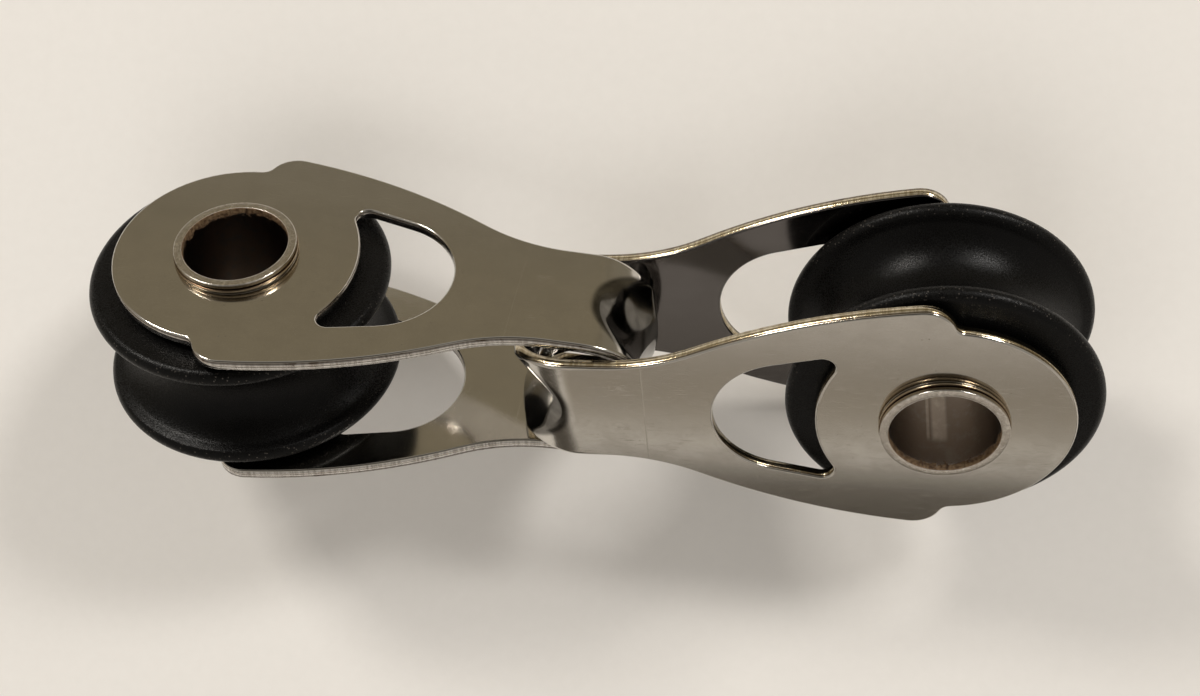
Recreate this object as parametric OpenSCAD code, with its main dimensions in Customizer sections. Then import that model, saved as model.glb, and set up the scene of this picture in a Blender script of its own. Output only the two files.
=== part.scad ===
// Traveller block: two single rope blocks with interlocked stamped straps, set at a right angle.
// X runs along the length, left block at -X, right block at +X. Z is up and z = 0 is the table.
// Each block is drawn in its own frame: x = 0 is the centre of the crown bend, the axle is at
// -axle_x, y runs across the cheeks and z is square to them.

/* [Strap] */
// Distance from the axle to the centre of the crown bend
axle_x = 35; // [32:0.5:45]
// Sheet thickness of the strap
strap_t = 1.2; // [0.8:0.1:1.4]
// Outer radius of the crown bend
crown_r = 7.9; // [7.7:0.1:9]
// Lean of each cheek away from the middle plane, in degrees
cheek_lean = 1.15; // [0.6:0.05:1.8]
// Gap on each side between the neck and the cheeks of the other block that it hangs in
link_gap = 0.4; // [0.3:0.05:0.9]
// How much each side of the strap narrows from the neck to the top of the crown
crown_narrow = 1.8; // [0.8:0.1:2]
// Swing of each block to the same side, about the middle of the link, in degrees
swing = 3; // [0:0.5:3]
// Radius of the round end of a cheek
head_r = 12.2; // [10.5:0.1:13.5]
// Radius of the long convex flank of a cheek
flank_r = 60; // [45:1:90]
// Radius of the concave flank that runs into the neck
waist_r = 20; // [14:1:24]
// Slope of the flank where the two curves meet, in degrees
flank_angle = 27; // [24:0.5:30]
// Distance from the crown bend centre back to the start of the straight neck
neck_len = 2.5; // [1:0.5:5]
// Radius of the rounded shoulder
shoulder_r = 3; // [2:0.25:4]
// Place of the shoulder peak, measured from the axle towards the crown
shoulder_x = 2.8; // [1:0.2:4]
// Radius of the hollow between the shoulder and the round end
hollow_r = 1.2; // [0.8:0.1:2]

/* [Crown saddle] */
// Depth of the saddle pressed into the top of the crown
saddle_depth = 2.1; // [0.6:0.1:2.6]
// Radius of the saddle across the strap
saddle_r = 10; // [8:0.5:16]
// How far the axis of the saddle lies behind the axis of the bend
saddle_back = 3.3; // [2.6:0.1:5]

/* [Cheek window] */
// Distance from the axle to the near edge of the window
window_near = 12.1; // [11:0.1:13]
// Radius of the near edge
window_near_r = 13.5; // [11:0.5:18]
// Distance from the axle to the centre of the far round end
window_far = 14.4; // [13.5:0.1:16]
// Radius of the far round end
window_far_r = 7.5; // [5.5:0.1:8]
// Width of the window over its two corners
window_w = 16.7; // [14.5:0.1:17.5]
// Radius of the two corners
window_corner_r = 1.2; // [0.6:0.1:2]

/* [Axle tube] */
// Bore of the tubular axle
tube_bore_d = 10.4; // [8:0.1:10.6]
// Wall thickness of the tube
tube_wall = 0.65; // [0.5:0.05:0.8]
// How far the rolled heads stand out past the tube
tube_head_lip = 0.3; // [0.2:0.05:0.6]
// Height of the rolled head
tube_head_h = 1; // [0.6:0.1:2]
// Depth of the chamfer at the mouth of the bore
mouth_chamfer = 0.3; // [0.1:0.05:0.5]

/* [Bearing] */
// Wall thickness of the inner race sleeve
race_wall = 1.23; // [1:0.05:1.35]
// Ball diameter
ball_d = 2.4; // [2:0.1:2.5]
// Balls in each row
ball_count = 19; // [12:1:20]
// Place of the first ball round its row, in degrees
ball_start = 13; // [0:0.25:18.75]
// Distance of each ball row from the middle plane
ball_row_z = 3.5; // [2.6:0.1:3.8]
// Thickness of a ball retainer ring
retainer_t = 0.9; // [0.6:0.1:1]
// Step in the hub that each retainer ring is seated against
retainer_step = 0.35; // [0.25:0.05:0.5]
// Gap between the rib of the hub and the sleeve
rib_gap = 0.12; // [0.1:0.02:0.3]
// Gap between a retainer ring and the sleeve
retainer_gap = 0.18; // [0.1:0.02:0.3]

/* [Sheave] */
// Outside diameter of the sheave
sheave_d = 30; // [28:0.5:32]
// Diameter at the bottom of the rope groove
groove_d = 21.8; // [21.4:0.1:23]
// Radius of the rounded rim
rim_r = 0.9; // [0.6:0.05:1]
// How far the outer side of each rim lies inside the hub face
rim_inset = 0.35; // [0.2:0.05:0.8]
// Radius of the flat hub face
hub_face_r = 10.9; // [10.6:0.1:12]

/* [Fits] */
// Running gap between moving bearing parts
run_gap = 0.03; // [0.02:0.01:0.06]
// Gap between parts that are pressed or clamped together
seat_gap = 0.02; // [0.01:0.01:0.05]
// Gap between the hub face and each cheek
side_gap = 0.33; // [0.25:0.01:0.45]

/* [Hidden] */

$fn = 96;

steel = "silver";
tube_steel = "lightsteelblue";
black = "#1c1c1e";
ivory = "ivory";
grey = "dimgray";

// Each block leans this far about the length, so that the two straps cross square
tilt = 45;
// Reach of the cutting shapes, and how far they run past the metal
far = 40;
past = 1;
// Share of the head height that is rounded off
head_round = 0.45;

// Cheek planes: the outside lies on x * sin(lean) + z * cos(lean) = crown_r
inner_r = crown_r - strap_t;
neck_w = 2 * (inner_r - link_gap);
function cheek_z(r, x) = (r - x * sin(cheek_lean)) / cos(cheek_lean);

// Plan outline of the strap, upper half, from the round end to the crown
waist_c = [-neck_len, neck_w / 2 + waist_r];
flank_p = waist_c - waist_r * [sin(flank_angle), cos(flank_angle)];
flank_c = flank_p - flank_r * [sin(flank_angle), cos(flank_angle)];
axle_c = [-axle_x, 0];
shoulder_a = asin((shoulder_x - axle_x - flank_c[0]) / flank_r);
shoulder_c = flank_c + (flank_r - shoulder_r) * [sin(shoulder_a), cos(shoulder_a)];

// Centre of a circle at distance a from point p and b from point q, on the left of p to q
function meet(p, q, a, b) =
    let (d = norm(q - p), u = (q - p) / d, s = (a * a - b * b + d * d) / (2 * d))
    p + s * u + sqrt(a * a - s * s) * [-u[1], u[0]];
function angle_of(v) = atan2(v[1], v[0]);
function arc(c, r, a0, a1, n) = [for (i = [0:n]) let (a = a0 + (a1 - a0) * i / n) c + r * [cos(a), sin(a)]];
function flip(points) = [for (i = [len(points) - 1:-1:0]) [points[i][0], -points[i][1]]];

hollow_c = meet(axle_c, shoulder_c, head_r + hollow_r, shoulder_r + hollow_r);
head_a = angle_of(hollow_c - axle_c);
shoulder_in = angle_of(hollow_c - shoulder_c);

// The crown narrows along one circle that starts square to the neck
narrow_r = (crown_r * crown_r + crown_narrow * crown_narrow) / (2 * crown_narrow);
narrow_a = asin(crown_r / narrow_r);

plan_half = concat(
    arc(axle_c, head_r, 180, head_a, 20),
    arc(hollow_c, hollow_r, head_a + 180, shoulder_in + 180, 6),
    arc(shoulder_c, shoulder_r, shoulder_in, 90 - shoulder_a, 8),
    arc(flank_c, flank_r, 90 - shoulder_a, 90 - flank_angle, 12),
    arc(waist_c, waist_r, 270 - flank_angle, 270, 10),
    arc([0, neck_w / 2 - narrow_r], narrow_r, 90, 90 - narrow_a, 6)
);

// Window outline, upper half
near_c = axle_c + [window_near - window_near_r, 0];
far_c = axle_c + [window_far, 0];
corner_y = window_w / 2 - window_corner_r;
corner_c = near_c + [sqrt(pow(window_near_r + window_corner_r, 2) - corner_y * corner_y), corner_y];
near_a = angle_of(corner_c - near_c);
side_a = angle_of(far_c - corner_c) + acos((window_corner_r - window_far_r) / norm(far_c - corner_c));
window_half = concat(
    arc(near_c, window_near_r, 0, near_a, 6),
    arc(corner_c, window_corner_r, near_a + 180, side_a, 10),
    arc(far_c, window_far_r, side_a, 0, 16)
);

// Axle, bearing and sheave radii
bore_r = tube_bore_d / 2;
tube_r = bore_r + tube_wall;
head_r1 = tube_r + tube_head_lip;
hole_r = tube_r + seat_gap;
race_r = hole_r + race_wall;
head_z = cheek_z(crown_r, -axle_x - head_r1) + seat_gap;
end_z = head_z + tube_head_h;
sleeve_z = cheek_z(inner_r, -axle_x + race_r) - seat_gap;
ball_r = ball_d / 2;
pitch_r = race_r + run_gap + ball_r;
raceway_r = pitch_r + ball_r + run_gap;
rib_z = ball_row_z - ball_r - run_gap;
retainer_z = ball_row_z + ball_r + run_gap;
retainer_seat_r = raceway_r + retainer_step;
sheave_r = sheave_d / 2;
rim_c = sheave_r - rim_r;
hub_z = cheek_z(inner_r, -axle_x + hub_face_r) - side_gap;
rim_z = hub_z - rim_inset - rim_r;

// The flanks end just inside the rounded rims, and the rope groove is one arc that cuts into both
rim_bite = 0.15;
flank_end_r = rim_c - rim_bite;
flank_end_z = rim_z + rim_r - rim_bite;
groove_z = rim_z - rim_r + rim_bite;
groove_low = groove_d / 2;
groove_c = (groove_low * groove_low - rim_c * rim_c - groove_z * groove_z) / (2 * (groove_low - rim_c));
groove_r = groove_c - groove_low;

// Height of the axis: the lowest corner of each strap stands on the table
stand_z = max([for (p = plan_half) p[1] * sin(tilt) + cheek_z(crown_r, p[0]) * cos(tilt)]);

// Both blocks swing to one side, and this shift puts the middle of the whole back on X
side_reach = [for (p = plan_half) p[1] * cos(tilt) + cheek_z(crown_r, p[0]) * sin(tilt)];
side_high = max([for (i = [0:len(plan_half) - 1]) side_reach[i] * cos(swing) - plan_half[i][0] * sin(swing)]);
side_low = min([for (i = [0:len(plan_half) - 1]) -side_reach[i] * cos(swing) - plan_half[i][0] * sin(swing)]);
side_shift = -(side_high + side_low) / 2;

module in_left() { translate([0, side_shift, stand_z]) rotate([0, 0, -swing]) rotate([-tilt, 0, 0]) children(); }
module in_right() { translate([0, side_shift, stand_z]) rotate([0, 0, 180 + swing]) rotate([-tilt, 0, 0]) children(); }
module at_axle() { translate([-axle_x, 0, 0]) children(); }

// Everything inside the bent sheet of the given radius, as wide as needed
module side_form(r) {
    back = -axle_x - head_r - past;
    rotate([90, 0, 0]) linear_extrude(height = far, center = true) union() {
        circle(r = r);
        polygon([
            [r * sin(cheek_lean), r * cos(cheek_lean)], [back, cheek_z(r, back)],
            [back, -cheek_z(r, back)], [r * sin(cheek_lean), -r * cos(cheek_lean)]
        ]);
    }
}

// The pressed saddle, as the ring that is taken from the crown
module saddle_form(sink) {
    // The ring stops just past the bend centre, so that it leaves the neck alone
    stop_x = 0.2;
    reach = crown_r - saddle_depth + saddle_back;
    ring_r = saddle_r + sink;
    intersection() {
        translate([-saddle_back, 0, 0]) rotate([90, 0, 0])
            rotate_extrude() translate([reach + saddle_r, 0]) circle(r = ring_r);
        translate([stop_x, -far / 2, -far / 2]) cube([far, far, far]);
    }
}

module strap() {
    color(steel) difference() {
        intersection() {
            side_form(crown_r);
            linear_extrude(height = far, center = true) polygon(concat(plan_half, flip(plan_half)));
        }
        saddle_form(0);
        difference() {
            side_form(inner_r);
            saddle_form(strap_t);
        }
        linear_extrude(height = far, center = true) polygon(concat(window_half, flip(window_half)));
        at_axle() cylinder(r = hole_r, h = far, center = true);
    }
}

module axle_tube() {
    soft = tube_head_h * head_round;
    color(tube_steel) at_axle() rotate_extrude() difference() {
        union() {
            translate([0, -end_z + soft]) square([tube_r, 2 * (end_z - soft)]);
            for (s = [-1, 1]) {
                translate([0, s > 0 ? head_z : -end_z + soft]) square([head_r1, tube_head_h - soft]);
                translate([0, s > 0 ? end_z - soft : -end_z]) square([head_r1 - soft, soft]);
                translate([head_r1 - soft, s * (end_z - soft)]) circle(r = soft);
            }
        }
        translate([-past, -far]) square([bore_r + past, 2 * far]);
        for (s = [-1, 1])
            polygon([
                [bore_r - past, s * (end_z - mouth_chamfer - past)], [bore_r + mouth_chamfer, s * end_z],
                [bore_r + mouth_chamfer, s * (end_z + past)], [bore_r - past, s * (end_z + past)]
            ]);
    }
}

module race_sleeve() {
    color(tube_steel) at_axle() difference() {
        cylinder(r = race_r, h = 2 * sleeve_z, center = true);
        cylinder(r = hole_r, h = far, center = true);
    }
}

module sheave() {
    color(black) at_axle() difference() {
        union() {
            rotate_extrude() polygon([
                [race_r + rib_gap, -rib_z], [raceway_r, -rib_z], [raceway_r, -retainer_z],
                [retainer_seat_r, -retainer_z], [retainer_seat_r, -hub_z], [hub_face_r, -hub_z],
                [flank_end_r, -flank_end_z], [flank_end_r, flank_end_z], [hub_face_r, hub_z],
                [retainer_seat_r, hub_z], [retainer_seat_r, retainer_z],
                [raceway_r, retainer_z], [raceway_r, rib_z], [race_r + rib_gap, rib_z]
            ]);
            for (s = [-1, 1]) translate([0, 0, s * rim_z]) rotate_extrude() translate([rim_c, 0]) circle(r = rim_r);
        }
        rotate_extrude() translate([groove_c, 0]) circle(r = groove_r);
    }
}

module balls(side) {
    color(ivory) at_axle() for (i = [0:ball_count - 1]) rotate([0, 0, ball_start + i * 360 / ball_count])
        translate([pitch_r, 0, side * ball_row_z]) sphere(r = ball_r, $fn = 24);
}

module retainer(side) {
    color(grey) at_axle() translate([0, 0, side * (retainer_z + seat_gap + retainer_t / 2)]) difference() {
        cylinder(r = retainer_seat_r - seat_gap, h = retainer_t, center = true);
        cylinder(r = race_r + retainer_gap, h = far, center = true);
    }
}

in_left() strap();  // left_strap
in_left() axle_tube();  // left_axle_tube
in_left() race_sleeve();  // left_race_sleeve
in_left() sheave();  // left_sheave
in_left() balls(1);  // left_balls_upper
in_left() balls(-1);  // left_balls_lower
in_left() retainer(1);  // left_retainer_upper
in_left() retainer(-1);  // left_retainer_lower
in_right() strap();  // right_strap
in_right() axle_tube();  // right_axle_tube
in_right() race_sleeve();  // right_race_sleeve
in_right() sheave();  // right_sheave
in_right() balls(1);  // right_balls_upper
in_right() balls(-1);  // right_balls_lower
in_right() retainer(1);  // right_retainer_upper
in_right() retainer(-1);  // right_retainer_lower
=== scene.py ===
# Two linked sailing blocks lying on a pale sheet, seen from almost straight above
import math

import bpy
from mathutils import Euler, Matrix, Vector


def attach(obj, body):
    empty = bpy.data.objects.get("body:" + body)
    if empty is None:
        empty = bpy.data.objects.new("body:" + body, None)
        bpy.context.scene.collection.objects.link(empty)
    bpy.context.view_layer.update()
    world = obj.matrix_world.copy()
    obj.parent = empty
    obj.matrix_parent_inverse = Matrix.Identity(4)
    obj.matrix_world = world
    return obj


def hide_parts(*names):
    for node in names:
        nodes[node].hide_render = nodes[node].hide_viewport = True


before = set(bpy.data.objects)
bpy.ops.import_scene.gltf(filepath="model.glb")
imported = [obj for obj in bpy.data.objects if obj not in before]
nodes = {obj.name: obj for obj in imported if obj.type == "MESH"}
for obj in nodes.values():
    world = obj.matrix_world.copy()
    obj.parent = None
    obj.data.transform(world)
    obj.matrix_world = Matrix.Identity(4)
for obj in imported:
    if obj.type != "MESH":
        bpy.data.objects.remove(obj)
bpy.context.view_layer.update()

# Sizes in metres, the same as the solids have
MM = 0.001
AXLE_X = 35 * MM
STAND_Z = 16.4229 * MM
SIDE_SHIFT = -1.7063 * MM
LEAN = math.radians(45)
SWING = math.radians(3)

BORE_R = 5.2 * MM
TUBE_R = 5.85 * MM
HEAD_R = 6.15 * MM
HEAD_Z = 8.748 * MM
HEAD_TOP = 9.747 * MM
LIP_R = 6.04 * MM

RIB_R = 7.22 * MM
RIB_Z = 2.27 * MM
RACEWAY_R = 9.56 * MM
RETAINER_Z = 4.73 * MM
SEAT_R = 9.91 * MM
HUB_Z = 6.855 * MM
HUB_FACE_R = 10.9 * MM
SHEAVE_R = 15 * MM
RIM_R = 0.9 * MM
RIM_Z = 5.605 * MM
GROOVE_LOW = 10.9 * MM

CROWN_R = 7.9 * MM
SHEET = 1.2 * MM
CHEEK_LEAN = math.radians(1.15)
NECK_HALF = 6.3 * MM
CROWN_NARROW = 1.8 * MM
SADDLE_DEPTH = 2.1 * MM
SADDLE_R = 10 * MM
SADDLE_BACK = 3.3 * MM
SADDLE_RING_R = CROWN_R - SADDLE_DEPTH + SADDLE_BACK + SADDLE_R
MIDDLE_R = CROWN_R - SHEET / 2
NECK_CUT_X = AXLE_X - 2.0 * MM
PRESS_REACH = 2.6 * MM
SOFT_RIM = 0.5 * MM
EDGE_ROUND = 0.22 * MM
RIM_ROUND = 0.07 * MM

# Fineness of the turned and bent pieces, in sides, cuts and steps
SHEAVE_SIDES = 144
AXLE_SIDES = 120
CROWN_CUTS = 31
CROWN_STEPS = 96
SOFT_STEPS = 6

# Marks of the bending tool beside each crown, in millimetres on the block
MARKS_X = 30.8
MARKS_SHIFT = 0.9
MARKS_PITCH = 2.8
MARKS_END = 4.0
MARKS_FINENESS = 26.0
CROSS_LINE_X = 28.4

# Painted highlights down the wall of the right bore, in millimetres on the block
WIDE_RUN_X = 0.05
THIN_RUN_X = 1.15

# Tones of the straps
STEEL = (0.60, 0.575, 0.53, 1)
STEEL_DARK = (0.565, 0.54, 0.495, 1)
STEEL_MOTTLE = (0.40, 0.38, 0.34, 1)
STEEL_WORN = (0.72, 0.69, 0.62, 1)
PIT = (0.14, 0.12, 0.09, 1)
# Painted shade for the pressed saddle, standing for the dark reflections in the dish
SADDLE_PAINTED_SHADE = (0.055, 0.050, 0.042, 1)
# Painted shade for the inner face of the right block's lower cheek
INNER_PAINTED_SHADE = (0.085, 0.078, 0.080, 1)
# Painted reflection: the edge tones are pale grey on the left and golden on the right, and a dark line runs
# beside the outer face
EDGE_PALE_PAINTED_TINT = {"left": (0.70, 0.67, 0.63, 1), "right": (0.66, 0.585, 0.44, 1)}
EDGE_DULL_PAINTED_TINT = {"left": (0.50, 0.47, 0.43, 1), "right": (0.42, 0.345, 0.215, 1)}
EDGE_PAINTED_DARK_LINE = (0.075, 0.045, 0.024, 1)
BROWN = (0.16, 0.075, 0.028, 1)
RUST = (0.10, 0.040, 0.014, 1)

# Tones of the hollow axles
LIP = (0.82, 0.79, 0.74, 1)
LIP_DARK = (0.64, 0.61, 0.55, 1)
# Painted light and shade: a darkened groove under the lip, a golden reflection on the lip's side, a bore
# darker on the left than on the right, and a bright highlight run in the right bore
LIP_GROOVE_PAINTED_SHADE = (0.06, 0.035, 0.018, 1)
GOLD_PAINTED_REFLECTION = (0.60, 0.50, 0.34, 1)
GOLD_DARK_PAINTED_REFLECTION = (0.36, 0.27, 0.15, 1)
BORE_PAINTED_LIGHT_AND_SHADE = {"left": (0.075, 0.066, 0.058, 1), "right": (0.37, 0.335, 0.30, 1)}
# Painted highlight in the right bore
BORE_PAINTED_HIGHLIGHT = (0.80, 0.76, 0.70, 1)
RUST_DARK = (0.06, 0.032, 0.016, 1)
RUST_TAN = (0.28, 0.19, 0.105, 1)

# Tones of the sheaves and of the hidden bearing pieces, the low and the high one of each
PLASTIC_TONES = ((0.002, 0.002, 0.002, 1), (0.005, 0.0047, 0.0044, 1))
RIM_SCUFF_AND_PAINTED_SHEEN = (0.13, 0.115, 0.10, 1)
SLEEVE_TONES = ((0.52, 0.50, 0.47, 1), (0.40, 0.38, 0.35, 1))
BALL_TONES = ((0.74, 0.70, 0.60, 1), (0.82, 0.79, 0.70, 1))
RETAINER_TONES = ((0.035, 0.035, 0.037, 1), (0.055, 0.054, 0.052, 1))

# Tones of the sheet, the cards and the room
PALE_TONES = ((0.77, 0.745, 0.71, 1), (0.81, 0.785, 0.75, 1))
BEHIND_TONES = ((0.175, 0.157, 0.118, 1), (0.19, 0.17, 0.128, 1))
IN_FRONT_TONES = ((0.33, 0.295, 0.24, 1), (0.36, 0.32, 0.26, 1))
# Tones of a card that stands for the shade in front of the part
IN_FRONT_SHADE_TONES = ((0.07, 0.06, 0.05, 1), (0.09, 0.08, 0.065, 1))
WALL_BEHIND = (0.25, 0.212, 0.145, 1)
WALL_IN_FRONT = (0.57, 0.52, 0.46, 1)
CEILING = (0.36, 0.34, 0.31, 1)
OVERHEAD = (0.075, 0.066, 0.052, 1)

# Heights of the floor and the cards, a hair below or above the sheet
FLOOR_Z = -0.04 * MM
CARD_Z = -0.02 * MM
DARK_CARD_Z = 0.1 * MM

# Camera, as the outlines in the photograph place it: aim on the axle plane, distance and turns in degrees
CAMERA_AIM = (1.414 * MM, 0.667 * MM)
CAMERA_REACH = 173.52 * MM
CAMERA_YAW = 7.39
CAMERA_PITCH = -1.38
CAMERA_ROLL = 3.90
CAMERA_LENS = 52.07


def clear_selection():
    if bpy.context.object and bpy.context.object.mode != "OBJECT":
        bpy.ops.object.mode_set(mode="OBJECT")
    bpy.ops.object.select_all(action="DESELECT")


def pick(piece):
    clear_selection()
    piece.select_set(True)
    bpy.context.view_layer.objects.active = piece


def apply_modifiers(piece):
    pick(piece)
    for modifier in list(piece.modifiers):
        bpy.ops.object.modifier_apply(modifier=modifier.name)


def smooth_faces(piece, degrees):
    pick(piece)
    bpy.ops.object.shade_smooth_by_angle(angle=math.radians(degrees))


def block_turn(side):
    """How a block is turned from its own frame, where its axle is upright, into the row frame."""
    return (-LEAN, 0, -SWING) if side == "left" else (-LEAN, 0, math.pi + SWING)


def axle_place(side):
    """Where the middle of a block's axle stands."""
    x = AXLE_X * math.cos(SWING)
    y = SIDE_SHIFT + AXLE_X * math.sin(SWING)
    return (-x, y, STAND_Z) if side == "left" else (x, y, STAND_Z)


def put_on_block(piece, side):
    """Lays a piece that was made round an upright axle onto the left or the right block."""
    pick(piece)
    piece.rotation_mode = "XYZ"
    piece.rotation_euler = block_turn(side)
    piece.location = axle_place(side)
    bpy.ops.object.transform_apply(location=True, rotation=True, scale=True)


def arc(centre, radius, start, end, steps):
    """Points of a round in a turned profile, as pairs of radius and height."""
    points = []
    for i in range(steps + 1):
        angle = math.radians(start + (end - start) * i / steps)
        points.append((centre[0] + radius * math.cos(angle), centre[1] + radius * math.sin(angle)))
    return points


def turn_profile(name, profile, sides):
    """Turns a closed profile round the upright axis, one ring after another."""
    clear_selection()
    radius, height = profile[0]
    bpy.ops.mesh.primitive_circle_add(vertices=sides, radius=radius, fill_type="NOTHING", location=(0, 0, 0))
    piece = bpy.context.object
    piece.name = name
    bpy.ops.object.mode_set(mode="EDIT")
    bpy.ops.mesh.select_mode(type="EDGE")
    bpy.ops.mesh.select_all(action="SELECT")
    bpy.ops.transform.translate(value=(0, 0, height))
    for next_radius, next_height in profile[1:] + profile[:1]:
        bpy.ops.mesh.extrude_region_move(TRANSFORM_OT_translate={"value": (0, 0, next_height - height)})
        size = next_radius / radius
        bpy.ops.transform.resize(value=(size, size, 1), center_override=(0, 0, next_height))
        radius, height = next_radius, next_height
    bpy.ops.mesh.select_all(action="SELECT")
    bpy.ops.mesh.remove_doubles(threshold=0.002 * MM)
    bpy.ops.mesh.normals_make_consistent(inside=False)
    bpy.ops.object.mode_set(mode="OBJECT")
    return piece


def second_copy(piece, name):
    pick(piece)
    bpy.ops.object.duplicate()
    copy = bpy.context.object
    copy.name = name
    copy.data.name = name
    return copy


def round_corners(piece, width, segments, degrees):
    bevel = piece.modifiers.new("rounded_corners", "BEVEL")
    bevel.width = width
    bevel.segments = segments
    bevel.limit_method = "ANGLE"
    bevel.angle_limit = math.radians(degrees)
    apply_modifiers(piece)


# Sheave: hub, flanks, rounded rims and the rope groove
def sheave_profile():
    rim_x = SHEAVE_R - RIM_R
    groove_z = RIM_Z - RIM_R + 0.15 * MM
    groove_x = (GROOVE_LOW ** 2 - rim_x ** 2 - groove_z ** 2) / (2 * (GROOVE_LOW - rim_x))
    groove_r = groove_x - GROOVE_LOW
    open_angle = math.degrees(math.asin(groove_z / groove_r))
    half = [(RIB_R, RIB_Z), (RACEWAY_R, RIB_Z), (RACEWAY_R, RETAINER_Z)]
    half += [(SEAT_R, RETAINER_Z), (SEAT_R, HUB_Z), (HUB_FACE_R, HUB_Z)]
    half += arc((rim_x, RIM_Z), RIM_R, 98, -62, 14)
    half += arc((groove_x, 0), groove_r, 180 - open_angle + 2, 180, 12)
    other = [(radius, -height) for radius, height in reversed(half[:-1])]
    return half + other


# Hollow axle: a rolled lip over a second ring at each end
def axle_profile():
    mouth_r = 0.12 * MM
    corner_r = 0.1 * MM
    bead_r = 0.15 * MM
    neck_r = LIP_R - 0.14 * MM
    half = [(BORE_R, 0), (BORE_R, HEAD_TOP - 0.3 * MM)]
    half += arc((BORE_R + mouth_r, HEAD_TOP - mouth_r), mouth_r, 180, 90, 5)
    half += arc((LIP_R - corner_r, HEAD_TOP - corner_r), corner_r, 90, 0, 5)
    half += [(LIP_R, HEAD_TOP - 0.45 * MM), (LIP_R - 0.05 * MM, HEAD_TOP - 0.52 * MM)]
    half += [(neck_r, HEAD_TOP - 0.56 * MM), (neck_r, HEAD_TOP - 0.64 * MM)]
    half += arc((HEAD_R - bead_r, HEAD_Z + bead_r + 0.03 * MM), bead_r, 80, -80, 8)
    half += [(TUBE_R, HEAD_Z - 0.01 * MM), (TUBE_R, 0)]
    other = [(radius, -height) for radius, height in reversed(half[1:-1])]
    return half + other


# A shader is built from small named steps
def new_material(name):
    material = bpy.data.materials.new(name)
    material.use_nodes = True
    return material, material.node_tree, material.node_tree.nodes["Principled BSDF"]


def add(tree, kind, **settings):
    node = tree.nodes.new(kind)
    for key, value in settings.items():
        setattr(node, key, value)
    return node


def put(tree, source, target):
    """Links a socket to the target, or sets a number or a colour on it."""
    if isinstance(source, (int, float, tuple)):
        target.default_value = source
    else:
        tree.links.new(source, target)


def math_step(tree, operation, first, second=0.5, third=0.5):
    node = add(tree, "ShaderNodeMath", operation=operation)
    put(tree, first, node.inputs[0])
    put(tree, second, node.inputs[1])
    if operation in ("MULTIPLY_ADD", "WRAP"):
        put(tree, third, node.inputs[2])
    return node.outputs[0]


def times(tree, first, *others):
    for other in others:
        first = math_step(tree, "MULTIPLY", first, other)
    return first


def scaled(tree, value, factor, start):
    """The value times a factor, added to a start value."""
    return math_step(tree, "MULTIPLY_ADD", value, factor, start)


def larger(tree, first, second):
    return math_step(tree, "MAXIMUM", first, second)


def without_sign(tree, value):
    return math_step(tree, "ABSOLUTE", value)


def distance_from(tree, value, middle):
    return without_sign(tree, math_step(tree, "SUBTRACT", value, middle))


def fade(tree, value, low, high, to_low=0.0, to_high=1.0):
    """Goes smoothly from one value to another between two limits."""
    node = add(tree, "ShaderNodeMapRange", interpolation_type="SMOOTHSTEP")
    put(tree, value, node.inputs["Value"])
    node.inputs["From Min"].default_value = low
    node.inputs["From Max"].default_value = high
    node.inputs["To Min"].default_value = to_low
    node.inputs["To Max"].default_value = to_high
    return node.outputs["Result"]


def blend_colours(tree, share, first, second):
    node = add(tree, "ShaderNodeMix", data_type="RGBA")
    put(tree, share, node.inputs["Factor"])
    put(tree, first, node.inputs["A"])
    put(tree, second, node.inputs["B"])
    return node.outputs["Result"]


def split_place(tree, place):
    split = add(tree, "ShaderNodeSeparateXYZ")
    put(tree, place, split.inputs[0])
    return split.outputs["X"], split.outputs["Y"], split.outputs["Z"]


def flat_length(tree, first, second):
    """Length of the flat arrow with the two given parts."""
    arrow = add(tree, "ShaderNodeCombineXYZ")
    put(tree, first, arrow.inputs["X"])
    put(tree, second, arrow.inputs["Y"])
    length = add(tree, "ShaderNodeVectorMath", operation="LENGTH")
    put(tree, arrow.outputs[0], length.inputs[0])
    return length.outputs["Value"]


def noise(tree, place, scale, detail=3.0, roughness=0.5, stretch=None, turn=0.0):
    """A cloud pattern, stretched along the length where asked."""
    if stretch:
        mapping = add(tree, "ShaderNodeMapping")
        put(tree, place, mapping.inputs["Vector"])
        mapping.inputs["Rotation"].default_value = (0, 0, math.radians(turn))
        mapping.inputs["Scale"].default_value = stretch
        place = mapping.outputs["Vector"]
    node = add(tree, "ShaderNodeTexNoise")
    put(tree, place, node.inputs["Vector"])
    put(tree, scale, node.inputs["Scale"])
    node.inputs["Detail"].default_value = detail
    node.inputs["Roughness"].default_value = roughness
    return node.outputs["Fac"]


def place_on_block(tree, side):
    """Coordinates in millimetres in the block's own frame, with the axle upright at zero."""
    coordinate = add(tree, "ShaderNodeTexCoord")
    mapping = add(tree, "ShaderNodeMapping", vector_type="TEXTURE")
    tree.links.new(coordinate.outputs["Object"], mapping.inputs["Vector"])
    mapping.inputs["Location"].default_value = axle_place(side)
    mapping.inputs["Rotation"].default_value = block_turn(side)
    mapping.inputs["Scale"].default_value = (MM, MM, MM)
    return mapping.outputs["Vector"]


def add_bump(tree, shader, height, depth, strength=1.0):
    bump = add(tree, "ShaderNodeBump")
    put(tree, height, bump.inputs["Height"])
    bump.inputs["Distance"].default_value = depth
    bump.inputs["Strength"].default_value = strength
    tree.links.new(bump.outputs["Normal"], shader.inputs["Normal"])


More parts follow.
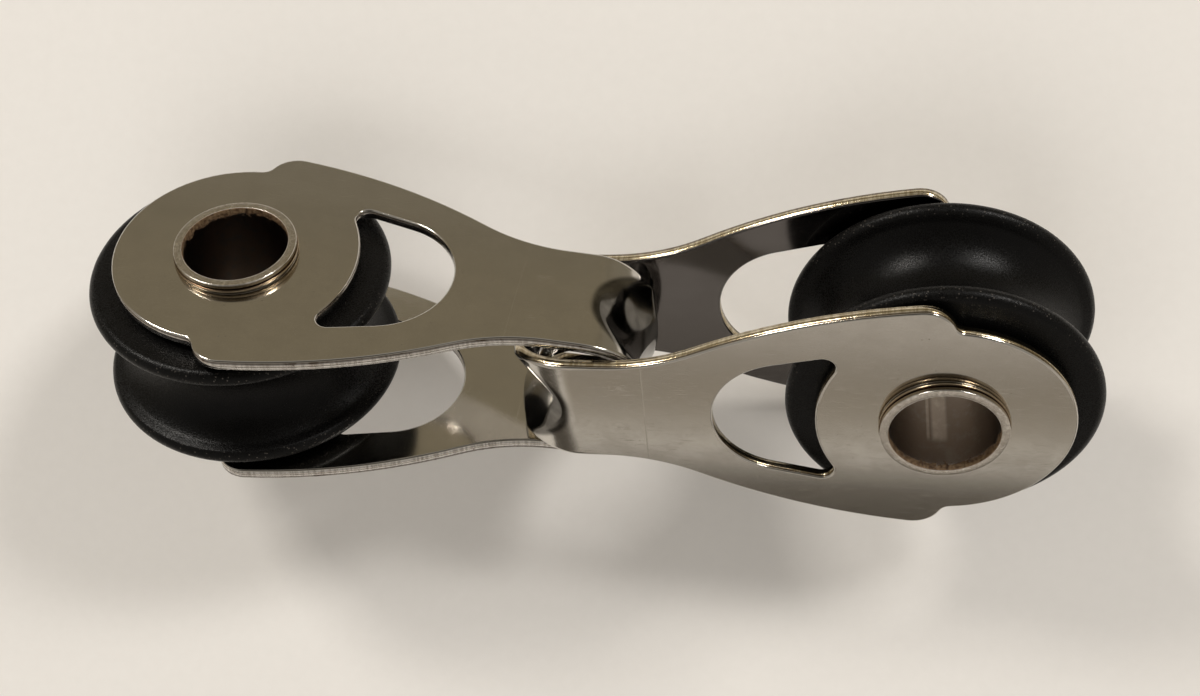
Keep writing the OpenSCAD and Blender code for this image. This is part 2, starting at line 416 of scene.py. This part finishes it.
# An effect that several finishes share is a node group, which is given the place on the block
def new_group(name, output, **amounts):
    group = bpy.data.node_groups.new(name, "ShaderNodeTree")
    group.interface.new_socket("Place", in_out="INPUT", socket_type="NodeSocketVector")
    for label, value in amounts.items():
        socket = group.interface.new_socket(label, in_out="INPUT", socket_type="NodeSocketFloat")
        socket.default_value = value
    group.interface.new_socket(output, in_out="OUTPUT", socket_type="NodeSocketFloat")
    given = group.nodes.new("NodeGroupInput").outputs
    return group, given, group.nodes.new("NodeGroupOutput").inputs[output]


def use_group(tree, group, **values):
    node = add(tree, "ShaderNodeGroup", node_tree=group)
    for label, value in values.items():
        put(tree, value, node.inputs[label])
    return node.outputs[0]


def make_scratches():
    """Fine handling scratches: long thin streaks in three directions."""
    group, given, result = new_group("fine_scratches", "Scratches", Amount=0.5)
    streaks = []
    for turn, scale, level in ((12, 1.3, 0.65), (-38, 1.7, 0.64), (74, 1.1, 0.65)):
        cloud = noise(group, given["Place"], scale, 4.0, 0.6, (0.35, 14, 2), turn)
        streaks.append(fade(group, cloud, level, level + 0.05))
    all_three = larger(group, larger(group, streaks[0], streaks[1]), streaks[2])
    put(group, times(group, all_three, given["Amount"]), result)
    return group


def make_specks():
    """Small pits and specks, a few to each square millimetre."""
    group, given, result = new_group("specks", "Specks", Density=1.6, Size=0.12)
    cells = add(group, "ShaderNodeTexVoronoi", feature="F1")
    put(group, given["Place"], cells.inputs["Vector"])
    put(group, given["Density"], cells.inputs["Scale"])
    cells.inputs["Randomness"].default_value = 1.0
    lucky = math_step(group, "GREATER_THAN", cells.outputs["Color"], 0.72)
    near = math_step(group, "LESS_THAN", cells.outputs["Distance"], given["Size"])
    put(group, times(group, lucky, near), result)
    return group


def make_stain():
    """Brown tea stain, which gathers in patches."""
    group, given, result = new_group("brown_stain", "Stain", Spread=0.5, Scale=1.0)
    wide = noise(group, given["Place"], 0.55, 4.0, 0.6)
    close = noise(group, given["Place"], given["Scale"], 5.0, 0.65)
    cloud = times(group, math_step(group, "ADD", wide, close), 0.5)
    level = times(group, math_step(group, "SUBTRACT", 1.0, given["Spread"]), 0.9)
    put(group, fade(group, math_step(group, "SUBTRACT", cloud, level), 0.0, 0.16), result)
    return group


def make_press_marks():
    """Three faint groups of short marks that the bending tool left beside the crown, and a cross line."""
    group, given, result = new_group("press_marks", "Marks")
    along, across, _ = split_place(group, given["Place"])
    short = fade(group, distance_from(group, along, MARKS_X), 0.5, 1.1, 1.0, 0.0)
    from_row = math_step(group, "ADD", across, MARKS_SHIFT)
    row = math_step(group, "WRAP", from_row, MARKS_PITCH / 2, -MARKS_PITCH / 2)
    in_row = fade(group, without_sign(group, row), 0.35, 0.5, 1.0, 0.0)
    in_row = times(group, in_row, math_step(group, "LESS_THAN", from_row, MARKS_END))
    fine = math_step(group, "SINE", times(group, across, MARKS_FINENESS))
    patchy = fade(group, noise(group, given["Place"], 1.4, 2.0), 0.42, 0.6)
    marks = times(group, short, in_row, fade(group, fine, 0.2, 0.9), patchy)
    line = fade(group, distance_from(group, along, CROSS_LINE_X), 0.02, 0.09, 0.4, 0.0)
    put(group, larger(group, marks, line), result)
    return group


def make_saddle_mask():
    """One on the pressed face of the crown, by its distance from the middle line of the pressing ring."""
    group, given, result = new_group("saddle_mask", "Pressed")
    along, across, height = split_place(group, given["Place"])
    from_middle = math_step(group, "SUBTRACT", along, (AXLE_X - SADDLE_BACK) / MM)
    from_line = math_step(group, "SUBTRACT", flat_length(group, from_middle, height), SADDLE_RING_R / MM)
    from_ring = flat_length(group, from_line, across)
    on_ring = fade(group, from_ring, SADDLE_R / MM + 0.12, SADDLE_R / MM + 0.4, 1.0, 0.0)
    beyond_neck = fade(group, along, AXLE_X / MM, AXLE_X / MM + 1.2)
    put(group, times(group, on_ring, beyond_neck), result)
    return group


def make_sheet_depth():
    """Depth in millimetres below the outer face of the sheet, on the cheeks and round the bend."""
    group, given, result = new_group("sheet_depth", "Depth")
    along, _, height = split_place(group, given["Place"])
    beyond = math_step(group, "SUBTRACT", along, AXLE_X / MM)
    before = math_step(group, "MINIMUM", beyond, 0.0)
    level = scaled(group, before, math.sin(CHEEK_LEAN), without_sign(group, height))
    reach = flat_length(group, larger(group, beyond, 0.0), level)
    put(group, math_step(group, "SUBTRACT", CROWN_R / MM, reach), result)
    return group


def make_axle_distance():
    """Distance in millimetres from the middle line of the axle."""
    group, given, result = new_group("axle_distance", "Distance")
    along, across, _ = split_place(group, given["Place"])
    put(group, flat_length(group, along, across), result)
    return group


SCRATCHES = make_scratches()
SPECKS = make_specks()
STAIN = make_stain()
PRESS_MARKS = make_press_marks()
SADDLE_MASK = make_saddle_mask()
SHEET_DEPTH = make_sheet_depth()
AXLE_DISTANCE = make_axle_distance()


def polished_steel(side):
    """The polished faces of a strap, with scratches, pits, press marks and painted shade in the saddle."""
    material, tree, shader = new_material(side + "_polished_strap_steel")
    place = place_on_block(tree, side)
    scratches = use_group(tree, SCRATCHES, Place=place, Amount=0.8)
    specks = use_group(tree, SPECKS, Place=place, Density=1.5, Size=0.09)
    marks = use_group(tree, PRESS_MARKS, Place=place)
    pressed = use_group(tree, SADDLE_MASK, Place=place)
    haze = fade(tree, noise(tree, place, 0.35, 4.0, 0.6), 0.35, 0.7)
    mottle = fade(tree, noise(tree, place, 5.0, 3.0, 0.7), 0.35, 0.65)
    saddle_shade_share = fade(tree, noise(tree, place, 0.6, 3.0, 0.5), 0.3, 0.7, 0.93, 0.78)
    worn = larger(tree, times(tree, scratches, 0.45), marks)

    tone = blend_colours(tree, haze, STEEL, STEEL_DARK)
    tone = blend_colours(tree, times(tree, mottle, 0.12), tone, STEEL_MOTTLE)
    tone = blend_colours(tree, times(tree, worn, 0.4), tone, STEEL_WORN)
    tone = blend_colours(tree, times(tree, specks, 0.7), tone, PIT)
    # Painted shade: the pressed saddle is darkened in patches
    tone = blend_colours(tree, times(tree, pressed, saddle_shade_share), tone, SADDLE_PAINTED_SHADE)
    if side == "right":
        # Painted shade: the inner face of the lower cheek is darkened, on this block only
        _, _, height = split_place(tree, place)
        lower = math_step(tree, "LESS_THAN", height, 0.0)
        inner = fade(tree, use_group(tree, SHEET_DEPTH, Place=place), 0.8, 1.0, 0.0, 0.85)
        tone = blend_colours(tree, times(tree, lower, inner), tone, INNER_PAINTED_SHADE)
    put(tree, tone, shader.inputs["Base Color"])
    rough = scaled(tree, haze, 0.02, 0.10)
    put(tree, scaled(tree, worn, 0.15, rough), shader.inputs["Roughness"])
    shader.inputs["Metallic"].default_value = 1.0
    fine = noise(tree, place, 9.0, 2.0)
    relief = scaled(tree, fine, 0.25, times(tree, worn, -1.0))
    add_bump(tree, shader, scaled(tree, specks, -2.0, relief), 0.0016 * MM, 0.6)
    return material


def cut_edge_steel(side):
    """The stamped edges of a strap: ribbed through the sheet, with tones tinted by side as painted
    reflection, and a painted dark reflection line beside the outer face.
    """
    material, tree, shader = new_material(side + "_stamped_edge_steel")
    place = place_on_block(tree, side)
    ribs = noise(tree, place, 2.6, 3.0, 0.6, (1.6, 1.6, 0.12))
    stain = use_group(tree, STAIN, Place=place, Spread=0.42, Scale=1.4)
    specks = use_group(tree, SPECKS, Place=place, Density=1.8, Size=0.14)
    depth = use_group(tree, SHEET_DEPTH, Place=place)
    # Painted reflection: a dark brown line along the rounded corner beside the outer face, stronger where
    # stained
    line = times(tree, fade(tree, depth, 0.26, 0.44, 1.0, 0.0), fade(tree, stain, 0.0, 0.5, 0.7, 1.0))

    # Painted reflection: the rib tones are tinted by side
    tone = blend_colours(tree, fade(tree, ribs, 0.38, 0.62), EDGE_PALE_PAINTED_TINT[side], EDGE_DULL_PAINTED_TINT[side])
    tone = blend_colours(tree, times(tree, stain, 0.3), tone, BROWN)
    tone = blend_colours(tree, times(tree, specks, 0.8), tone, RUST)
    put(tree, blend_colours(tree, line, tone, EDGE_PAINTED_DARK_LINE), shader.inputs["Base Color"])
    put(tree, scaled(tree, ribs, 0.12, 0.11), shader.inputs["Roughness"])
    shader.inputs["Metallic"].default_value = 1.0

    # The edge is domed across the sheet
    across = math_step(tree, "SUBTRACT", depth, SHEET / MM / 2)
    across = math_step(tree, "MINIMUM", larger(tree, across, -0.38), 0.38)
    dome = times(tree, across, across, -0.8)
    add_bump(tree, shader, scaled(tree, ribs, 0.014, dome), MM)
    return material


def axle_steel(side):
    """The hollow axle: pale rolled lip, a painted golden reflection on its side, painted shade in the groove,
    ragged brown rust inside the mouth, and a bore painted darker on the left than on the right.
    """
    material, tree, shader = new_material(side + "_rolled_axle_steel")
    place = place_on_block(tree, side)
    along, across, height = split_place(tree, place)
    radius = use_group(tree, AXLE_DISTANCE, Place=place)
    below_top = math_step(tree, "SUBTRACT", HEAD_TOP / MM, without_sign(tree, height))

    inside = fade(tree, radius, BORE_R / MM + 0.02, BORE_R / MM + 0.07, 1.0, 0.0)
    ragged = noise(tree, place, 1.5, 5.0, 0.7)
    rust_depth = scaled(tree, ragged, 2.6, -0.45)
    rust = fade(tree, math_step(tree, "SUBTRACT", rust_depth, below_top), -0.08, 0.12)
    rust = times(tree, rust, inside)
    side_band = fade(tree, radius, LIP_R / MM - 0.2, LIP_R / MM - 0.16)
    side_band = times(tree, side_band, fade(tree, below_top, 0.08, 0.2))
    groove_shade = times(tree, fade(tree, below_top, 0.42, 0.55), fade(tree, below_top, 0.66, 0.76, 1.0, 0.0))
    groove_shade = times(tree, groove_shade, side_band)

    fine = noise(tree, place, 3.2, 4.0, 0.65)
    streaks = noise(tree, place, 3.2, 3.0, 0.6, (2.5, 2.5, 0.12))
    stain = use_group(tree, STAIN, Place=place, Spread=0.6, Scale=1.6)
    tone = blend_colours(tree, fade(tree, fine, 0.3, 0.7), LIP, LIP_DARK)
    # Painted reflection: the side band of the lip is tinted gold
    painted_golden_reflection = blend_colours(tree, fine, GOLD_DARK_PAINTED_REFLECTION, GOLD_PAINTED_REFLECTION)
    tone = blend_colours(tree, times(tree, side_band, 0.85), tone, painted_golden_reflection)
    # Painted shade: the groove under the lip is darkened
    tone = blend_colours(tree, groove_shade, tone, LIP_GROOVE_PAINTED_SHADE)
    # Painted light and shade: the bore is darker on the left block than on the right
    tone = blend_colours(tree, inside, tone, BORE_PAINTED_LIGHT_AND_SHADE[side])
    if side == "right":
        # Painted highlight: a bright run down the wall of the bore, with a thin one beside it
        wide = fade(tree, distance_from(tree, along, WIDE_RUN_X), 0.5, 0.9, 1.0, 0.0)
        thin = fade(tree, distance_from(tree, along, THIN_RUN_X), 0.08, 0.2, 0.8, 0.0)
        painted_highlight = times(tree, larger(tree, wide, thin), fade(tree, across, 0, 2), fade(tree, below_top, 3.4, 4.4))
        painted_highlight = times(tree, painted_highlight, times(tree, inside, 0.8))
        tone = blend_colours(tree, painted_highlight, tone, BORE_PAINTED_HIGHLIGHT)
    rust_tone = blend_colours(tree, fade(tree, fine, 0.35, 0.65), RUST_DARK, RUST_TAN)
    tone = blend_colours(tree, rust, tone, rust_tone)
    put(tree, blend_colours(tree, times(tree, stain, 0.2), tone, BROWN), shader.inputs["Base Color"])
    rough = scaled(tree, streaks, 0.12, 0.14)
    rough = scaled(tree, inside, 0.12, rough)
    put(tree, scaled(tree, rust, 0.4, rough), shader.inputs["Roughness"])
    put(tree, scaled(tree, rust, -0.9, 1.0), shader.inputs["Metallic"])
    relief = scaled(tree, rust, ragged, times(tree, fine, 0.4))
    add_bump(tree, shader, relief, 0.05 * MM, 0.5)
    return material


def black_plastic(side):
    """Moulded black sheave: satin, finely grained, with paler specks on the rims that are partly scuffs and
    partly painted highlight.
    """
    material, tree, shader = new_material(side + "_black_sheave_plastic")
    place = place_on_block(tree, side)
    grain = noise(tree, place, 7.0, 3.0, 0.7)
    cloud = noise(tree, place, 0.6, 4.0, 0.6)
    radius = use_group(tree, AXLE_DISTANCE, Place=place)
    rim = fade(tree, radius, SHEAVE_R / MM - 0.8, SHEAVE_R / MM)
    specks = use_group(tree, SPECKS, Place=place, Density=4.2, Size=0.3)
    tone = blend_colours(tree, cloud, PLASTIC_TONES[0], PLASTIC_TONES[1])
    # Paler specks on the rims: partly scuffs, partly painted highlight
    tone = blend_colours(tree, times(tree, rim, specks, 0.5), tone, RIM_SCUFF_AND_PAINTED_SHEEN)
    put(tree, tone, shader.inputs["Base Color"])
    rough = fade(tree, grain, 0.38, 0.62, 0.13, 0.42)
    put(tree, scaled(tree, rim, 0.08, rough), shader.inputs["Roughness"])
    shader.inputs["Specular IOR Level"].default_value = 0.13
    add_bump(tree, shader, grain, 0.03 * MM, 0.8)
    return material


def plain_finish(name, side, tones, rough_low, rough_high, scale, metal=0.0, depth=0.01):
    """A finish for the hidden bearing pieces: two tones, uneven gloss and a fine grain."""
    material, tree, shader = new_material(side + "_" + name)
    place = place_on_block(tree, side)
    cloud = noise(tree, place, scale, 4.0, 0.6)
    put(tree, blend_colours(tree, cloud, tones[0], tones[1]), shader.inputs["Base Color"])
    put(tree, fade(tree, cloud, 0.3, 0.7, rough_low, rough_high), shader.inputs["Roughness"])
    shader.inputs["Metallic"].default_value = metal
    add_bump(tree, shader, noise(tree, place, scale * 6, 3.0, 0.6), depth * MM, 0.5)
    return material


def dress(piece, material):
    piece.data.materials.clear()
    piece.data.materials.append(material)


# Straps: the cheeks are the solid's own sheets, and the crown is bent and pressed anew with finer faces
def make_cheeks():
    """Both cheeks of the left strap, laid back round an upright axle and cut off at the neck."""
    pick(nodes["left_strap"])
    bpy.ops.object.duplicate()
    cheeks = bpy.context.object
    cheeks.name = "left_strap_sheet"
    cheeks.parent = None
    for key in list(cheeks.keys()):
        del cheeks[key]
    on_block = Matrix.Translation(axle_place("left")) @ Euler(block_turn("left")).to_matrix().to_4x4()
    cheeks.matrix_world = on_block.inverted()
    bpy.ops.object.transform_apply(location=True, rotation=True, scale=True)
    bpy.ops.object.mode_set(mode="EDIT")
    bpy.ops.mesh.select_all(action="SELECT")
    bpy.ops.mesh.remove_doubles(threshold=0.004 * MM)
    bpy.ops.mesh.dissolve_limited(angle_limit=math.radians(0.4))
    bpy.ops.mesh.select_all(action="SELECT")
    bpy.ops.mesh.bisect(plane_co=(NECK_CUT_X, 0, 0), plane_no=(1, 0, 0), clear_outer=True)
    bpy.ops.object.mode_set(mode="OBJECT")
    return cheeks


def add_saddle_tool(name, tube_r):
    """The ring that the saddle is pressed over."""
    clear_selection()
    bpy.ops.mesh.primitive_torus_add(
        location=(AXLE_X - SADDLE_BACK, 0, 0),
        rotation=(math.radians(90), 0, 0),
        major_radius=SADDLE_RING_R,
        minor_radius=tube_r,
        major_segments=360,
        minor_segments=240,
    )
    tool = bpy.context.object
    tool.name = name
    bpy.ops.object.mode_set(mode="EDIT")
    bpy.ops.mesh.select_all(action="SELECT")
    bpy.ops.mesh.bisect(plane_co=(AXLE_X, 0, 0), plane_no=(1, 0, 0), clear_inner=True)
    bpy.ops.object.mode_set(mode="OBJECT")
    return tool


def narrowing(out):
    """How far each side of the bend comes in, at a distance beyond the neck."""
    narrow_r = (CROWN_R ** 2 + CROWN_NARROW ** 2) / (2 * CROWN_NARROW)
    return narrow_r - math.sqrt(narrow_r ** 2 - out ** 2)


def bend_crown():
    """The section of the sheet carried round from one cheek to the other, open at both ends."""
    clear_selection()
    bpy.ops.mesh.primitive_plane_add(
        size=1,
        location=(AXLE_X + MIDDLE_R * math.sin(CHEEK_LEAN), 0, MIDDLE_R * math.cos(CHEEK_LEAN)),
        rotation=(0, math.radians(90) + CHEEK_LEAN, 0),
    )
    crown = bpy.context.object
    crown.name = "pressed_crown"
    crown.scale = (SHEET, 2 * NECK_HALF, 1)
    bpy.ops.object.transform_apply(location=True, rotation=True, scale=True)
    bpy.ops.object.mode_set(mode="EDIT")
    bpy.ops.mesh.select_mode(type="EDGE")
    bpy.ops.mesh.select_all(action="DESELECT")
    bpy.ops.object.mode_set(mode="OBJECT")
    for edge in crown.data.edges:
        first, second = (crown.data.vertices[i].co for i in edge.vertices)
        edge.select = abs(first.y - second.y) > NECK_HALF
    bpy.ops.object.mode_set(mode="EDIT")
    bpy.ops.mesh.subdivide(number_cuts=CROWN_CUTS)
    bpy.ops.mesh.select_mode(type="FACE")
    bpy.ops.mesh.select_all(action="SELECT")
    turn = math.pi - 2 * CHEEK_LEAN
    bpy.ops.mesh.spin(steps=CROWN_STEPS, angle=turn, center=(AXLE_X, 0, 0), axis=(0, -1, 0))
    bpy.ops.mesh.select_all(action="DESELECT")
    bpy.ops.object.mode_set(mode="OBJECT")
    end_x = AXLE_X + (CROWN_R + 0.01 * MM) * math.sin(CHEEK_LEAN)
    for face in crown.data.polygons:
        face.select = all(crown.data.vertices[i].co.x < end_x for i in face.vertices)
    bpy.ops.object.mode_set(mode="EDIT")
    bpy.ops.mesh.delete(type="FACE")
    bpy.ops.object.mode_set(mode="OBJECT")
    return crown


def press_crown(crown):
    """Narrows the bend with its distance from the neck and presses the saddle in over the two rings."""
    for vertex in crown.data.vertices:
        out = max(vertex.co.x - AXLE_X, 0)
        vertex.co.y *= 1 - narrowing(out) / NECK_HALF

    outer = crown.vertex_groups.new(name="outside")
    inner = crown.vertex_groups.new(name="inside")
    for vertex in crown.data.vertices:
        reach = math.hypot(vertex.co.x - AXLE_X, vertex.co.z)
        group = outer if reach > MIDDLE_R else inner
        group.add([vertex.index], 1.0, "ADD")
    tools = [add_saddle_tool("outer_ring", SADDLE_R), add_saddle_tool("inner_ring", SADDLE_R + SHEET)]
    for tool, group in zip(tools, ("outside", "inside")):
        press = crown.modifiers.new("press_" + group, "SHRINKWRAP")
        press.target = tool
        press.vertex_group = group
        press.wrap_method = "PROJECT"
        press.use_project_x = True
        press.use_positive_direction = False
        press.use_negative_direction = True
        press.project_limit = PRESS_REACH
    apply_modifiers(crown)

    # The pressing leaves no sharp crease, but the rims keep their place
    face_zone = crown.vertex_groups.new(name="between_rims")
    for vertex in crown.data.vertices:
        out = max(vertex.co.x - AXLE_X, 0)
        half = NECK_HALF - narrowing(min(out, CROWN_R))
        inward = (half - abs(vertex.co.y)) / SOFT_RIM
        face_zone.add([vertex.index], max(0.0, min(1.0, inward)) if out > 0.3 * MM else 0.0, "ADD")
    soften = crown.modifiers.new("soft_crease", "SMOOTH")
    soften.factor = 0.5
    soften.iterations = SOFT_STEPS
    soften.vertex_group = "between_rims"
    apply_modifiers(crown)
    clear_selection()
    for tool in tools:
        tool.select_set(True)
    bpy.ops.object.delete()


def close_seam(piece, upper):
    """Joins the open edge of the crown to the open edge of one cheek."""
    pick(piece)
    bpy.ops.object.mode_set(mode="EDIT")
    bpy.ops.mesh.select_mode(type="EDGE")
    bpy.ops.mesh.select_all(action="DESELECT")
    bpy.ops.mesh.select_non_manifold(extend=False)
    bpy.ops.object.mode_set(mode="OBJECT")
    for edge in piece.data.edges:
        middle = (piece.data.vertices[edge.vertices[0]].co + piece.data.vertices[edge.vertices[1]].co) / 2
        if (middle.z > 0) != upper:
            edge.select = False
    bpy.ops.object.mode_set(mode="EDIT")
    bpy.ops.mesh.bridge_edge_loops()
    bpy.ops.object.mode_set(mode="OBJECT")


def make_strap():
    """One strap round an upright axle: two cheeks and the pressed crown, with rounded corners."""
    cheeks = make_cheeks()
    crown = bend_crown()
    press_crown(crown)
    clear_selection()
    crown.select_set(True)
    cheeks.select_set(True)
    bpy.context.view_layer.objects.active = cheeks
    bpy.ops.object.join()
    close_seam(cheeks, True)
    close_seam(cheeks, False)
    cheeks.vertex_groups.clear()
    bpy.ops.object.mode_set(mode="EDIT")
    bpy.ops.mesh.select_all(action="SELECT")
    bpy.ops.mesh.normals_make_consistent(inside=False)
    bpy.ops.object.mode_set(mode="OBJECT")
    round_corners(cheeks, EDGE_ROUND, 4, 62)
    return cheeks


def even_shading(piece, degrees):
    """Keeps the flat faces flat and the bends smooth, up to a crease of the given angle."""
    smooth_faces(piece, degrees)
    weighting = piece.modifiers.new("face_weighting", "WEIGHTED_NORMAL")
    weighting.keep_sharp = True
    weighting.weight = 50
    apply_modifiers(piece)


def mark_edges(strap, side):
    """Gives the stamped edges of the sheet their own finish, by the way each face looks."""
    strap.data.materials.clear()
    strap.data.materials.append(polished_steel(side))
    strap.data.materials.append(cut_edge_steel(side))
    for face in strap.data.polygons:
        in_bend = face.center.x > AXLE_X
        sheet = math.hypot(face.normal.x, face.normal.z) if in_bend else abs(face.normal.z)
        face.material_index = 1 if sheet < 0.45 else 0


sheave = turn_profile("left_grooved_sheave", sheave_profile(), SHEAVE_SIDES)
round_corners(sheave, RIM_ROUND, 2, 40)
axle = turn_profile("left_hollow_axle", axle_profile(), AXLE_SIDES)
strap = make_strap()

sheaves = {"left": sheave, "right": second_copy(sheave, "right_grooved_sheave")}
axles = {"left": axle, "right": second_copy(axle, "right_hollow_axle")}
straps = {"left": strap, "right": second_copy(strap, "right_strap_sheet")}

for side in ("left", "right"):
    block_body = side + "_block"
    sheave_body = side + "_sheave_set"

    put_on_block(sheaves[side], side)
    smooth_faces(sheaves[side], 35)
    dress(sheaves[side], black_plastic(side))
    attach(sheaves[side], sheave_body)
    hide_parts(side + "_sheave")

    put_on_block(axles[side], side)
    smooth_faces(axles[side], 35)
    dress(axles[side], axle_steel(side))
    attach(axles[side], block_body)
    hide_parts(side + "_axle_tube")

    mark_edges(straps[side], side)
    put_on_block(straps[side], side)
    even_shading(straps[side], 32)
    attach(straps[side], block_body)
    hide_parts(side + "_strap")

    sleeve_finish = plain_finish("turned_sleeve_steel", side, SLEEVE_TONES, 0.18, 0.34, 1.2, metal=1.0)
    ball_finish = plain_finish("ball_plastic", side, BALL_TONES, 0.2, 0.32, 0.9)
    ring_finish = plain_finish("retainer_plastic", side, RETAINER_TONES, 0.35, 0.5, 0.8, depth=0.02)
    dress(nodes[side + "_race_sleeve"], sleeve_finish)
    for row in ("upper", "lower"):
        dress(nodes[side + "_balls_" + row], ball_finish)
        dress(nodes[side + "_retainer_" + row], ring_finish)


# Pale sheet and floor, with darker cards round them for the polished steel to mirror
def add_sheet(name, width, depth, middle, height, tones, roughness):
    clear_selection()
    bpy.ops.mesh.primitive_plane_add(size=1, location=(middle[0], middle[1], height))
    sheet = bpy.context.object
    sheet.name = name
    bpy.ops.object.mode_set(mode="EDIT")
    bpy.ops.transform.resize(value=(width, depth, 1), center_override=(middle[0], middle[1], height))
    bpy.ops.mesh.subdivide(number_cuts=3)
    bpy.ops.object.mode_set(mode="OBJECT")
    bpy.ops.object.transform_apply(location=True, rotation=True, scale=True)
    material, tree, shader = new_material(name + "_surface")
    place = add(tree, "ShaderNodeTexCoord").outputs["Object"]
    fibre = noise(tree, place, 700.0, 4.0, 0.6)
    put(tree, blend_colours(tree, fibre, tones[0], tones[1]), shader.inputs["Base Color"])
    shader.inputs["Roughness"].default_value = roughness
    shader.inputs["Specular IOR Level"].default_value = 0.2
    add_bump(tree, shader, fibre, 0.02 * MM, 0.3)
    dress(sheet, material)
    return sheet


def add_card(name, width, depth, middle, height, tones):
    """A card outside the picture that only the polished steel mirrors."""
    card = add_sheet(name, width, depth, middle, height, tones, 0.9)
    card.visible_camera = False
    card.visible_diffuse = False
    card.visible_shadow = False


add_sheet("pale_sheet", 0.34, 0.43, (0, -0.125), 0, PALE_TONES, 0.85)
pale_floor = add_sheet("pale_floor", 3.0, 3.0, (0, 0), FLOOR_Z, PALE_TONES, 0.85)
pale_floor.visible_glossy = False
add_card("brown_card_behind", 3.0, 1.5, (0, 0.75), CARD_Z, BEHIND_TONES)
add_card("brown_card_in_front", 3.0, 1.5, (0, -0.75), CARD_Z, IN_FRONT_TONES)
# The dark card stands for the shade in front of the part, and only the polished steel mirrors it
add_card("shade_card_in_front", 0.24, 0.145, (0.03, -0.1425), DARK_CARD_Z, IN_FRONT_SHADE_TONES)

# Room: olive walls behind the part, paler ones in front, a brighter ceiling and a dark patch overhead
world = bpy.data.worlds.new("plain_room")
bpy.context.scene.world = world
world.use_nodes = True
room = world.node_tree
background = room.nodes["Background"]
_, sideways, upward = split_place(room, add(room, "ShaderNodeTexCoord").outputs["Generated"])
wall = blend_colours(room, fade(room, sideways, -0.5, 0.5, 1.0, 0.0), WALL_BEHIND, WALL_IN_FRONT)
sky = blend_colours(room, fade(room, upward, 0.25, 0.5), wall, CEILING)
sky = blend_colours(room, fade(room, upward, 0.78, 0.95), sky, OVERHEAD)
put(room, sky, background.inputs["Color"])
background.inputs["Strength"].default_value = 1.0


def add_lamp(name, azimuth, elevation, distance, size, watts, colour):
    clear_selection()
    level = distance * math.cos(math.radians(elevation))
    place = Vector(
        (
            level * math.cos(math.radians(azimuth)),
            level * math.sin(math.radians(azimuth)),
            distance * math.sin(math.radians(elevation)),
        )
    )
    bpy.ops.object.light_add(type="AREA", location=place)
    lamp = bpy.context.object
    lamp.name = name
    lamp.data.shape = "RECTANGLE"
    lamp.data.size = size[0]
    lamp.data.size_y = size[1]
    lamp.data.energy = watts
    lamp.data.color = colour
    lamp.rotation_euler = (-place).to_track_quat("-Z", "Y").to_euler()
    return lamp


# Two ceiling lamps, where the highlights in the rope groove put them, and a broad weak light from the front
add_lamp("ceiling_lamp_left", 131, 37, 1.3, (0.30, 0.20), 7.4, (1.0, 0.955, 0.89))
add_lamp("ceiling_lamp_right", 45, 39, 1.3, (0.30, 0.20), 7.4, (1.0, 0.97, 0.93))
front_light = add_lamp("soft_front_light", -100, 52, 1.2, (1.1, 0.8), 4.6, (1.0, 0.975, 0.95))
front_light.visible_glossy = False

# Camera, where the photograph was taken from
camera_data = bpy.data.cameras.new("overhead_camera")
camera = bpy.data.objects.new("overhead_camera", camera_data)
bpy.context.scene.collection.objects.link(camera)
camera_data.sensor_fit = "HORIZONTAL"
camera_data.sensor_width = 36.0
camera_data.lens = CAMERA_LENS
camera_data.clip_start = 0.01
camera_turn = (
    Matrix.Rotation(math.radians(CAMERA_PITCH), 4, "X")
    @ Matrix.Rotation(math.radians(CAMERA_YAW), 4, "Y")
    @ Matrix.Rotation(math.radians(CAMERA_ROLL), 4, "Z")
)
target = Vector((CAMERA_AIM[0], CAMERA_AIM[1] + SIDE_SHIFT, STAND_Z))
camera.matrix_world = Matrix.Translation(target) @ camera_turn @ Matrix.Translation((0, 0, CAMERA_REACH))
bpy.context.scene.camera = camera

bpy.context.scene.view_settings.view_transform = "Standard"
